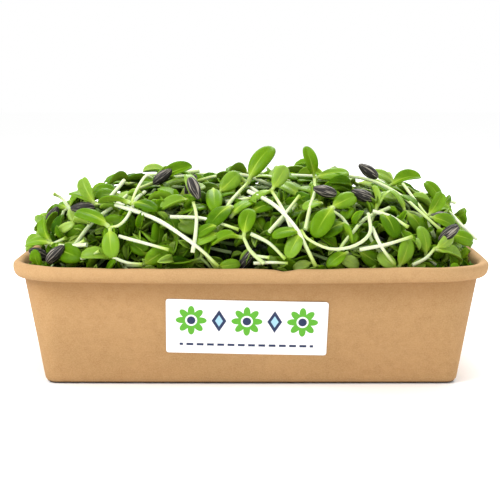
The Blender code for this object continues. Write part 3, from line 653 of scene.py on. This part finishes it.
def frontShoot(entry):
    rule = shootRule
    path = pathOnFront(entry["stem"], entry["out"])
    if entry["stem"][0][1] > rule["tailLevel"] and not entry.get("endShows"):
        tail = (path[0] - path[1]).normalized() * rule["tailLength"]
        path.insert(0, path[0] + tail - heapNormal(path[0]) * rule["tailSink"])
    crown = path[-1]
    leaves = []
    for tip, turn in zip(pathOnFront(entry["tips"], entry["out"] + rule["tipOut"]), entry["turn"]):
        tip.y = min(max(tip.y, crown.y - rule["leafReach"]), crown.y + rule["leafReach"])
        leaves.append((tip, rolled(heapNormal(crown), tip - crown, turn)))
    return dict(entry, path=path, leaves=leaves, lean=rule["lean"])


def buriedStem(points):
    path = pathOnFront(points, strewnRule["buriedOut"])
    path[0] -= heapNormal(path[0]) * strewnRule["bedSink"]
    return dict(path=path, leaves=[], lean=shootRule["lean"])


def spreadSpots(rng, crowns, count, wanted):
    # random spots on the heap, each the furthest of a few from all the others
    reach = strewnRule["spotReach"]
    spots = []
    while len(spots) < count:
        draws = []
        while len(draws) < strewnRule["spotDraws"]:
            x = heap["half"][0] * sin(rng.uniform(-reach, reach))
            y = heapDepth(x, heap["foot"]) * sin(rng.uniform(-reach, reach))
            if wanted(x, y):
                draws.append(Vector((x, y, heapHeight(x, y))))
        others = crowns + spots
        spots.append(max(draws, key=lambda spot: min((spot - near).length for near in others)))
    return spots


def leafPair(rng, rule, crown, along, side, outward, facing):
    # two leaves that spread to either side of the crown
    leaves = []
    for hand in (-1, 1):
        spread = radians(rng.uniform(*rule["angles"])) * hand
        tip = crown + (along * cos(spread) + side * sin(spread)) * rng.uniform(*rule["lengths"])
        tip += outward * rng.uniform(*rule["rises"])
        leaves.append((tip, rolled(facing, tip - crown, rng.uniform(-rule["roll"], rule["roll"]))))
    return leaves


def strewnShoot(rng, spot, lift, reach, sink):
    # a shoot lying mostly along the tray, and leaning up low down on the heap
    rule = strewnRule
    normal = heapNormal(spot)
    heading = rng.gauss(0.0, rule["headingSpread"]) + rng.choice((0.0, pi))
    climb = max(rule["climbTop"] - spot.z, 0.0) / rule["climbRise"]
    along = Vector((cos(heading), sin(heading), climb))
    along = (along - normal * along.dot(normal)).normalized()
    crown = spot + normal * lift
    path = [crown - along * (reach * back) + normal * (arch - sink * down)
            for back, down, arch in rule["stemBend"]]
    return dict(path=path, lean=(normal + up).normalized(),
                leaves=leafPair(rng, rule, crown, along, normal.cross(along), normal, normal))


def strewnLayers(laid):
    # the loose shoots and the bed under them, in the order in which they are drawn
    rule = strewnRule
    rng = random.Random(rule["seed"])
    crest, foot = heap["crestLine"], rule["bedFoot"]
    start, top = rule["skirtStart"], rule["skirtTop"]
    crowns = [shoot["path"][-1] for shoot in laid]
    spots = spreadSpots(rng, crowns, rule["looseShoots"],
                        lambda x, y: y > -crest or abs(x) > rule["sideStart"])
    loose = [strewnShoot(rng, spot, *rule["loose"]) for spot in spots]
    crowns += spots
    for count, wanted in ((rule["skirt"], lambda x, y: y > start and foot < heapHeight(x, y) < top),
                          (rule["everywhere"], lambda x, y: heapHeight(x, y) > foot),
                          (rule["front"], lambda x, y: y < -crest)):
        crowns += spreadSpots(rng, crowns, count, wanted)
    bed = [strewnShoot(rng, spot, rng.uniform(-rule["bedLift"], rule["bedLift"]),
                       rule["bedReach"], rule["bedSink"]) for spot in crowns[len(laid) + len(loose):]]
    return loose, bed, crowns


def nodeTree(name):
    # the corners of a solid, in millimetres, for looking up the nearest
    points = pointsOf(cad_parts[name]) / mm
    tree = KDTree(len(points))
    for index, point in enumerate(points):
        tree.insert(point, index)
    tree.balance()
    return tree


def touches(tree, end, gap):
    # a leaf's tip is a corner of the solid, and a bare stem ends in a ring of corners
    match = shootRule["match"]
    near = [away for where, index, away in tree.find_range(end, gap + match) if away > gap - match]
    return len(near) > (2 if gap else 0)


def settled(shoot, tree, furthest=99.0):
    # the shoot moved along its lean to where the solid has it, or None if it isn't there
    ends = [(tip, 0.0) for tip, facing in shoot["leaves"]]
    ends = ends or [(shoot["path"][-1], shootRule["stemRadius"])]
    for step in range(shootRule["settleTries"]):
        rise = shootRule["settleStep"] * ((step + 1) // 2) * (1 if step % 2 else -1)
        shift = shoot["lean"] * rise
        if abs(rise) <= furthest and any(touches(tree, end + shift, gap) for end, gap in ends):
            return dict(shoot, path=[point + shift for point in shoot["path"]],
                        leaves=[(tip + shift, facing) for tip, facing in shoot["leaves"]])
    return None


# Leaf, stem and hull, each modelled once and copied

leafForm = dict(halfWidth=0.27, stalk=0.15, stalkWidth=0.22, thickness=0.044, arch=0.10,
                cup=0.16, groove=0.024, usual=12.5)
stemForm = dict(cutEnd=1.06, taper=0.22, crown=0.24, cutInset=0.35)
shootLook = dict(radius=(0.62, 0.80), toneSpread=0.2,
                 leaf=dict(wide=(0.92, 1.06), arch=(-0.03, 0.05), lean=(-0.04, 0.04)))


def takeOut(masters):
    for master in masters:
        bpy.data.objects.remove(master["piece"])


def copyOf(master, points, tone):
    # its own mesh, with its points moved to their place on the heap
    piece = master["piece"].copy()
    piece.data = master["piece"].data.copy()
    setPoints(linked(piece), points * mm)
    setTrait(piece, "tone", tone)
    setTrait(piece, "shade", heapShade(points))
    return piece


def modelLeaf(rings, spokes, notch=0.0, cup=1.0, crease=0.0, pillow=0.0):
    # a ball with its poles at the stalk and the tip, pressed flat: one unit long
    form = leafForm
    leaf = makeBall(spokes, rings)
    x, y, z = pointsOf(leaf).T
    girth = np.hypot(y, z)
    across, lie = np.where(girth > 1e-4, (y, z) / np.maximum(girth, 1e-6), 0)
    along = (1 + x) / 2
    blade = np.clip((along - form["stalk"]) / (1 - form["stalk"]), 0, 1)
    outline = (4 * blade * (1 - blade)) ** 0.45 * (0.94 + 0.10 * blade)
    stalk = form["stalkWidth"] * np.minimum(1, along / 0.02) ** 0.5 * (1 - ease(0.15, 0.5, along))
    width = (outline ** 3 + stalk ** 3) ** (1 / 3)
    isBlade = ease(0.10, 0.34, along)
    flesh = form["thickness"] * (1.35 - 0.35 * isBlade) * np.minimum(girth * 2.2, 1) ** 0.7
    height = np.sign(lie) * np.abs(lie) ** 0.8 * flesh
    height -= form["groove"] * np.exp(-(across / 0.2) ** 2) * isBlade * (1 - ease(0.8, 0.97, along))
    lifted = form["cup"] * cup * np.abs(across) ** 1.6 + crease * np.abs(across)
    height += lifted * form["halfWidth"] * width * isBlade
    # each half of the blade swells up beside the groove
    height += pillow * np.sin(pi * np.abs(across)) * isBlade * (1 - ease(0.85, 1.0, along))
    height += form["arch"] * np.sin(pi * along)
    sideways = across * width * form["halfWidth"] * (1 - 0.35 * crease)
    along = along - notch * np.exp(-(across / 0.35) ** 2) * ease(0.8, 1.0, along)
    setPoints(leaf, np.column_stack((along, sideways, height)))
    setUv(leaf, np.column_stack((along, 0.5 + across * width / 2)))
    setTrait(leaf, "blade", ease(0.0, 0.2, along) * 0.5 + 0.5)
    setTrait(leaf, "under", lie < -0.1)
    smoothed(leaf, 180)
    return dict(piece=leaf, points=pointsOf(leaf))


def modelStem(sides, cuts):
    # a rod with cut ends
    stem = makeRod(sides, cuts)
    selectFaces(stem, lambda face: abs(face.normal.z) > 0.9)
    bpy.ops.mesh.inset(thickness=stemForm["cutInset"])
    doneEditing()
    smoothed(stem, 50)
    x, y, z = pointsOf(stem).T
    setUv(stem, np.column_stack((z, (np.arctan2(y, x) / tau) % 1)))
    setTrait(stem, "blade", ease(0.88, 1.0, z) * 0.4)
    setTrait(stem, "under", 0.0)
    return dict(piece=stem, points=pointsOf(stem))


def smoothPath(points, count):
    # evenly numbered points on a smooth curve through the given ones
    padded = [2 * points[0] - points[1], *points, 2 * points[-1] - points[-2]]
    path = []
    for index in range(count):
        placeOn = index / (count - 1) * (len(points) - 1)
        piece = min(int(placeOn), len(points) - 2)
        t = placeOn - piece
        a, b, c, d = padded[piece:piece + 4]
        path.append(0.5 * (2 * b + (c - a) * t + (2 * a - 5 * b + 4 * c - d) * t ** 2
                           + (3 * b - a - 3 * c + d) * t ** 3))
    return path


trayRoom = dict(slack=0.5, rimLevel=49.1, overRim=3.4)


def insideTray(points, slack=trayRoom["slack"]):
    # what would pass through the board is pressed flat against it
    x, y, z = points.T
    halfX, halfY, radius, bow, _ = wallAt(np.clip(z, 0, trayPiece["height"]))
    room = np.where(z < trayRoom["rimLevel"], -trayPiece["board"] - slack, trayRoom["overRim"])
    limitX = halfX + room
    limitY = halfY + room + bow * (1 - np.clip(np.abs(x) / halfX, 0, 1) ** 2)
    cornerX = np.maximum(np.abs(x) - (limitX - radius), 0)
    cornerY = np.maximum(np.abs(y) - (halfY + room - radius), 0)
    reach = np.hypot(cornerX, cornerY)
    tooFar = (cornerX > 0) & (cornerY > 0) & (reach > radius)
    pull = np.where(tooFar, radius / np.maximum(reach, 1e-9), 1)
    newX = np.minimum(np.abs(x) - cornerX * (1 - pull), limitX)
    newY = np.minimum(np.abs(y) - cornerY * (1 - pull), limitY)
    return np.column_stack((np.sign(x) * newX, np.sign(y) * newY, z))


def layLeaf(master, base, tip, facing, tone, wide=1.0, arch=0.0, lean=0.0):
    along = tip - base
    length = along.length
    # long leaves are narrower for their length
    wide *= min(1.0, leafForm["usual"] / length) ** 0.6
    side = along.cross(facing).normalized()
    rise = side.cross(along).normalized()
    x, y, z = master["points"].T
    swell = np.sin(pi * np.clip(x, 0, 1))
    points = (np.array(base) + np.outer(x, along) + np.outer((y * wide + swell * lean) * length, side)
              + np.outer((z + swell * arch) * length, rise))
    return copyOf(master, insideTray(points), tone)


def layStem(master, path, radius, tone):
    x, y, z = master["points"].T
    count = len(np.unique(np.round(z, 4)))
    spots = smoothPath(path, count)
    across = (path[1] - path[0]).orthogonal().normalized()
    rings = []
    for index, spot in enumerate(spots):
        forward = (spots[min(index + 1, count - 1)] - spots[max(index - 1, 0)]).normalized()
        across = (across - forward * across.dot(forward)).normalized()
        rings.append([tuple(spot), tuple(across), tuple(forward.cross(across))])
    middle, first, second = np.array(rings)[np.round(z * (count - 1)).astype(int)].transpose(1, 2, 0)
    # thicker at the cut end and where the leaf stalks leave the crown
    swell = radius * (stemForm["cutEnd"] - stemForm["taper"] * ease(0, 0.8, z)
                      + stemForm["crown"] * ease(0.88, 1.0, z))
    return copyOf(master, insideTray((middle + first * x * swell + second * y * swell).T), tone)


def layShoot(shoot, rng, masters, tone):
    # the stem and leaves of one shoot as loose objects, ready to be joined
    leafMasters, stemMaster = masters
    path, look = shoot["path"], shootLook
    radius = rng.uniform(*look["radius"])
    stemTone = rng.random()
    pieces = [layStem(stemMaster, path, radius, 0.0 if shoot.get("pale") else stemTone)]
    before, crown = smoothPath(path, 6)[-2:]
    base = path[-1] - (crown - before).normalized() * radius
    for tip, facing in shoot["leaves"]:
        leafTone = min(max(tone + rng.uniform(-look["toneSpread"], look["toneSpread"]), 0), 1)
        pieces.append(layLeaf(rng.choice(leafMasters), base, tip, facing, leafTone,
                              **{name: rng.uniform(*limits) for name, limits in look["leaf"].items()}))
    return pieces


# Hulls: two half shells that have sprung open a little at one end

hullForm = dict(mesh=(24, 16), length=9.6, halfWidth=2.35, halfDepth=1.95, shell=0.32, seam=0.03,
                gapes=(0.3, 2.2, 0.4, 4.5), strayGape=0.4, seed=9)

# Hulls that still grip a leaf: one end at (across, upward), how far out, and the direction
strayHulls = (
    ((-20, 70.5), 14, (-0.4, 0.25, 0.85)),
    ((71.5, 55.5), 8, (0.78, 0.0, 0.6)),
)


def modelHull():
    form = hullForm
    half = makeBall(*form["mesh"])
    editMode(half)
    bpy.ops.mesh.select_all(action="SELECT")
    bpy.ops.mesh.bisect(plane_co=(0, 0, 0), plane_no=(0, 0, 1), clear_inner=True)
    doneEditing()
    x, y, z = pointsOf(half).T
    along = (1 + x) / 2
    girth = np.maximum(np.hypot(y, z), 1e-6)
    # blunt at one end and drawn to a point at the other, with a slight keel
    taper = (1 - 0.28 * ease(0.5, 1.0, along) - 0.06 * ease(0.3, 0.0, along)) * girth ** -0.18
    angle = np.arctan2(z, y)
    taper *= 1 + 0.025 * np.cos(angle * 10)
    setPoints(half, np.column_stack((along * form["length"], y * taper * form["halfWidth"],
                                     z * taper * form["halfDepth"])))
    setUv(half, np.column_stack((along, angle / pi)))
    outer = len(half.data.vertices)
    thickened(half, form["shell"], -1.0)
    setTrait(half, "under", np.arange(len(half.data.vertices)) >= outer)
    smoothed(half, 60)
    return dict(piece=half, points=pointsOf(half))


def hullFrame(name):
    # a hull's middle line and its wide direction, read from its solid
    points = pointsOf(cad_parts[name]) / mm
    gaps = np.linalg.norm(points[:, None] - points[None], axis=2)
    first, last = np.unravel_index(gaps.argmax(), gaps.shape)
    start = points[first]
    along = (points[last] - start) / gaps[first, last]
    spread = (points - start) - np.outer((points - start) @ along, along)
    side = spread[np.linalg.norm(spread, axis=1).argmax()]
    side = side / np.linalg.norm(side)
    return start, along, side, np.cross(along, side)


def layHull(master, start, along, side, rise, rng, gape):
    if rng.random() < 0.5:
        start, along, side = start + along * hullForm["length"], -along, -side
    tone = rng.random()
    pieces = []
    for hand in (1, -1):
        swing = radians(gape) * hand
        x, y, z = (master["points"] * (1, 1, hand)).T
        z += hullForm["seam"] * hand
        points = (start + np.outer(x * cos(swing) - z * sin(swing), along) + np.outer(y, side)
                  + np.outer(x * sin(swing) + z * cos(swing), rise))
        pieces.append(copyOf(master, points, tone))
    pieces[1].data.flip_normals()
    return pieces


def makeHulls():
    rng = random.Random(hullForm["seed"])
    master = modelHull()
    shell = seedHull()
    names = nodesCalled("hull_")
    for index, name in enumerate(names):
        gape = hullForm["gapes"][index % len(hullForm["gapes"])]
        pieces = layHull(master, *hullFrame(name), rng, gape)
        finishPiece("shell_" + name, pieces, shell, "seed_hull", name)
    pieces = []
    for base, out, along in strayHulls:
        along = Vector(along).normalized()
        side = along.cross(front).normalized()
        lie = map(np.array, (heapFront(*base, out), along, side, along.cross(side)))
        pieces += layHull(master, *lie, rng, hullForm["strayGape"])
    finishPiece("stray_hulls", pieces, shell, "seed_hull")
    takeOut([master])
    print("hulls:", len(names) + len(strayHulls))


# Fill: more shoots between and under the ones of the solids, all round the heap

fillRule = dict(count=300, foot=45.0, depth=(-11.0, -1.0), layers=10, reach=(14, 28), sink=(0, 8),
                hullRoom=8.0, seed=71)
edgeRule = dict(count=130, heights=(36.0, 46.0), inset=(2.5, 9.0), climb=(0.2, 0.9), reach=13.0,
                sink=4.0, lengths=(7.0, 10.5), rises=(-2.0, 3.0), angles=(20.0, 70.0), roll=60.0,
                faceUp=0.6, seed=12)
curlRule = dict(count=420, widest=83.0, heights=(45.0, 71.0), out=(-8.0, -1.5), lengths=(5.5, 9.0),
                along=(1, 0.9, 1), facing=(0.5, 0.3, 0.5), endOn=0.9, tones=(0.1, 0.9),
                widths=(0.9, 1.2), seed=44)


def clearOfHulls(shoots):
    # the fill leaves the hulls on top of it in sight
    middles = [Vector(pointsOf(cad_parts[name]).mean(axis=0) / mm) for name in nodesCalled("hull_")]
    kept = []
    for shoot in shoots:
        ends = [shoot["path"][-1]] + [tip for tip, facing in shoot["leaves"]]
        if min((end - middle).length for end in ends for middle in middles) > fillRule["hullRoom"]:
            kept.append(shoot)
    return kept


def fillShoots(crowns):
    rule = fillRule
    rng = random.Random(rule["seed"])
    spots = spreadSpots(rng, crowns[::3], rule["count"], lambda x, y: heapHeight(x, y) > rule["foot"])
    low, high = rule["depth"]
    lifts = np.linspace(low, high, rule["layers"])
    return [strewnShoot(rng, spot, lifts[index % rule["layers"]], rng.uniform(*rule["reach"]),
                        rng.uniform(*rule["sink"])) for index, spot in enumerate(spots)]


def edgeShoots():
    # short shoots pushed down along the board, all the way round
    rule = edgeRule
    rng = random.Random(rule["seed"])
    shoots = []
    for index in range(rule["count"]):
        ring = wallRing(rng.uniform(*rule["heights"]), -rng.uniform(*rule["inset"]))
        crown = Vector(ring[int(index / rule["count"] * len(ring))])
        outward = heapNormal(crown)
        beside = outward.cross(up) * rng.choice((-1, 1))
        along = (beside + up * rng.uniform(*rule["climb"])).normalized()
        stem = along * rule["reach"]
        path = [crown - stem - outward * rule["sink"], crown - stem / 2, crown]
        leaves = leafPair(rng, rule, crown, along, outward.cross(along), outward,
                          outward + up * rule["faceUp"])
        shoots.append(dict(path=path, leaves=leaves))
    return shoots


def curledLeaves(master):
    # small curled leaves that close the gaps on the front slope
    rule = curlRule
    rng = random.Random(rule["seed"])
    low, high = rule["heights"]

    def scatter(spreads):
        return Vector([rng.gauss(0, spread) for spread in spreads])

    pieces = []
    for index in range(rule["count"]):
        across = rng.uniform(-rule["widest"], rule["widest"])
        tall = (high - low) * (1 - abs(across / heap["half"][0]) ** 3)
        base = heapFront(across, low + tall * rng.random() ** 1.4, rng.uniform(*rule["out"]))
        along = scatter(rule["along"]).normalized()
        facing = (heapNormal(base) + scatter(rule["facing"])).normalized()
        if abs(along.dot(facing)) <= rule["endOn"]:
            tip = base + along * rng.uniform(*rule["lengths"])
            pieces.append(layLeaf(master, base, tip, facing, rng.uniform(*rule["tones"]),
                                  wide=rng.uniform(*rule["widths"])))
    return pieces


heartForm = dict(halfLength=78.0, halfDepth=50.0, middle=40.0, above=20.0, below=38.0, lump=1.6,
                 squares=(0.7, 0.75, 0.8), slack=2.0, lowest=2.0)


def makeHeart():
    # what is left of the inside once the shoots lie on it
    form = heartForm
    deselectAll()
    bpy.ops.mesh.primitive_uv_sphere_add(segments=72, ring_count=36, radius=1)
    heart = bpy.context.object
    unit = pointsOf(heart)
    x, y, z = (np.sign(unit) * np.abs(unit) ** form["squares"]).T
    x, y = x * form["halfLength"], y * form["halfDepth"]
    tall = form["middle"] + z * np.where(z > 0, form["above"], form["below"])
    tall += (z > 0) * form["lump"] * np.sin(x * 0.33) * np.cos(y * 0.4 + tall * 0.3)
    points = insideTray(np.column_stack((x, y, tall)), form["slack"])
    points[:, 2] = np.maximum(points[:, 2], form["lowest"])
    setPoints(heart, points * mm)
    smoothed(heart, 180)
    finishPiece("heart", [heart], heartInPaintedShade(), "seed_leaf")


# Strays: single leaves and stems among the front shoots. A leaf has its two ends at
# (across, upward), how far out they are, its roll, width and tone, and a stem has its
# path, how far out it is and its tone.

strayLeaves = (
    ((-76, 56), (-68, 61), (3, 4), 30, 0.7, 0.9), ((-74, 52), (-64, 50), (2, 3), 0, 1.1, 0.2),
    ((-11, 59), (-21, 56), (4, 5), 10, 1.0, 0.6), ((-8, 64), (1, 69), (3, 4), -20, 1.05, 0.5),
    ((-4, 71), (-15, 69), (2, 3), 20, 1.0, 0.15), ((37, 62), (27, 58), (1, 2), 0, 1.1, 0.1),
    ((-1, 65), (9, 68), (1, 2), 10, 1.0, 0.1), ((58, 70), (66, 66), (1, 2), 0, 1.0, 0.15),
    ((37, 53), (29, 48), (2, 3), 20, 1.0, 0.4), ((-7, 68), (-16, 61), (7, 5), 0, 1.1, 0.1),
    ((-12, 62), (-21, 58), (6, 5), 10, 1.0, 0.2), ((-15, 73), (-14, 66), (8, 6), 0, 0.85, 0.4),
    ((28, 69), (20, 67), (8, 7), 0, 1.1, 0.6), ((32, 68), (24, 58), (10, 5), -10, 1.1, 0.35),
    ((50, 66), (55, 57), (5, 3), 0, 1.1, 0.15),
)

strayStems = (
    (((0, 59), (7, 56), (13, 51)), 4, 0.4), (((1, 52), (7, 51.5)), 4, 0.5),
    (((1, 49.5), (8, 49.8), (14, 49.5)), 4, 0.0), (((-64, 50), (-57, 53)), 4, 0.3),
    (((-73, 51), (-67, 54), (-63, 56)), 4, 0.5), (((-77, 53), (-71, 56)), 3, 0.5),
    (((-10, 69), (0, 70)), 3, 0.2), (((-1, 72.5), (9, 68.5), (17, 61.5), (21, 55), (24.5, 48.5)), 9, 0.0),
    (((-52.5, 68), (-36, 64), (-24, 57.5), (-17.5, 53), (-12.5, 48.5)), 9, 0.0),
    (((-31, 64.5), (-18, 64), (-4.6, 60.5)), 6, 0.1), (((7, 60), (13, 65.5), (19, 71)), 7, 0.5),
    (((46, 61), (49, 55), (54, 48.5)), 6, 0.2), (((41, 54), (51, 55.5), (61, 57.5)), 6, 0.1),
    (((47, 66), (54, 64), (60, 60.5)), 6, 0.2), (((-50, 58), (-40, 56), (-31, 54)), 5, 0.1),
    (((-53, 51.5), (-47, 49.5), (-41, 49)), 4, 0.3),
)


def strayPieces(rng, masters):
    leafMasters, stemMaster = masters
    pieces = []
    for start, end, (out, tipOut), roll, wide, tone in strayLeaves:
        base, tip = heapFront(*start, out), heapFront(*end, tipOut)
        facing = rolled(heapNormal(base), tip - base, roll)
        pieces.append(layLeaf(leafMasters[0], base, tip, facing, tone, wide=wide))
    for path, out, tone in strayStems:
        pieces.append(layStem(stemMaster, pathOnFront(path, out), rng.uniform(*shootLook["radius"]), tone))
    return pieces


# Everything in its place

# rings and spokes of a leaf, the ways it is curled, and sides and cuts of a stem
shootKinds = dict(
    fine=((16, 18), (dict(cup=0.8, pillow=0.03), dict(notch=0.035, cup=0.5, pillow=0.045),
                     dict(cup=0.2, pillow=0.04), dict(crease=0.5)), (10, 17)),
    plain=((8, 12), (dict(pillow=0.03), dict(cup=0.4, pillow=0.045), dict(crease=0.7)), (6, 6)),
    rough=((7, 8), ({}, dict(crease=0.6)), (5, 5)))
curledKind = dict(rings=8, spokes=8, crease=1.1)
tones = dict(laid=(0.25, 1.0), bed=(0.15, 0.9), beneath=(0.0, 0.6))


def modelShoot(kind):
    leafSize, curls, stemSize = shootKinds[kind]
    return [modelLeaf(*leafSize, **curl) for curl in curls], modelStem(*stemSize)


def makeGreens():
    rng = random.Random(shootRule["seed"])
    fine, plain, rough = map(modelShoot, shootKinds)
    green = freshGreens()
    laid = [frontShoot(entry) for entry in sorted(frontShoots, key=lambda entry: -entry["out"])]
    loose, bed, crowns = strewnLayers(laid)

    nodes = nodesCalled("shoot_")
    found = 0
    for shoot in laid + loose:
        placed = settled(shoot, nodeTree(nodes[found])) if found < len(nodes) else None
        if placed:
            tone = rng.uniform(*tones["laid"]) * shoot.get("deepen", 1)
            pieces = layShoot(placed, rng, fine, tone)
            finishPiece("laid_" + nodes[found], pieces, green, "seed_leaf", nodes[found])
            found += 1
    print("shoots laid on top:", found, "of", len(nodes))

    def layMany(shoots, masters, layer):
        pieces = []
        for shoot in shoots:
            pieces += layShoot(shoot, rng, masters, rng.uniform(*tones[layer]))
        return pieces

    tree = nodeTree("packed_shoots")
    placed = [settled(shoot, tree, strewnRule["bedShift"])
              for shoot in [buriedStem(points) for points in buriedStems] + bed]
    placed = [shoot for shoot in placed if shoot]
    finishPiece("bed_of_shoots", layMany(placed, plain, "bed"), green, "seed_leaf", "packed_shoots")
    print("shoots in the bed:", len(placed))

    curled = modelLeaf(**curledKind)
    beneath = clearOfHulls(fillShoots(crowns) + edgeShoots())
    for name, pieces in (("shoots_beneath", layMany(beneath, rough, "beneath")),
                         ("strays", strayPieces(rng, fine)), ("curled_leaves", curledLeaves(curled))):
        finishPiece(name, pieces, green, "seed_leaf")
    takeOut([curled])
    makeHeart()
    for leaves, stem in (fine, plain, rough):
        takeOut([*leaves, stem])
    print("heap filled")


studio = dict(world=1.0, aim=Vector((0, 0, 0.05)),
              lights=(("key", (-0.56, -0.47, 0.66), 0.4, 5.6), ("back", (0.2, 0.75, 0.9), 0.7, 12.0)),
              camera=(0, -0.546, 0.120), pitch=82.38, yaw=0.04, lens=92.6)


def makeStudio():
    deselectAll()
    bpy.ops.mesh.primitive_plane_add(size=8, location=(0, 0, 0))
    floor = bpy.context.object
    floor.name = "floor"
    floor.data.materials.append(studioFloor())
    world = bpy.data.worlds.new("studio")
    bpy.context.scene.world = world
    world.use_nodes = True
    backdrop = world.node_tree.nodes["Background"]
    backdrop.inputs["Color"].default_value = (1, 1, 1, 1)
    backdrop.inputs["Strength"].default_value = studio["world"]
    for name, place, size, power in studio["lights"]:
        light = bpy.data.lights.new(name, "AREA")
        light.size, light.energy = size, power
        lamp = linked(bpy.data.objects.new(name, light))
        lamp.location = place
        lamp.rotation_euler = (studio["aim"] - Vector(place)).to_track_quat("-Z", "Y").to_euler()
    lens = bpy.data.cameras.new("camera")
    lens.lens = studio["lens"]
    camera = linked(bpy.data.objects.new("camera", lens))
    camera.location = studio["camera"]
    camera.rotation_euler = (radians(studio["pitch"]), 0, radians(studio["yaw"]))
    bpy.context.scene.camera = camera
    bpy.context.scene.view_settings.view_transform = "Standard"
    print("studio ready")


makeStudio()
makeTray()
makeLabel()
makeGreens()
makeHulls()
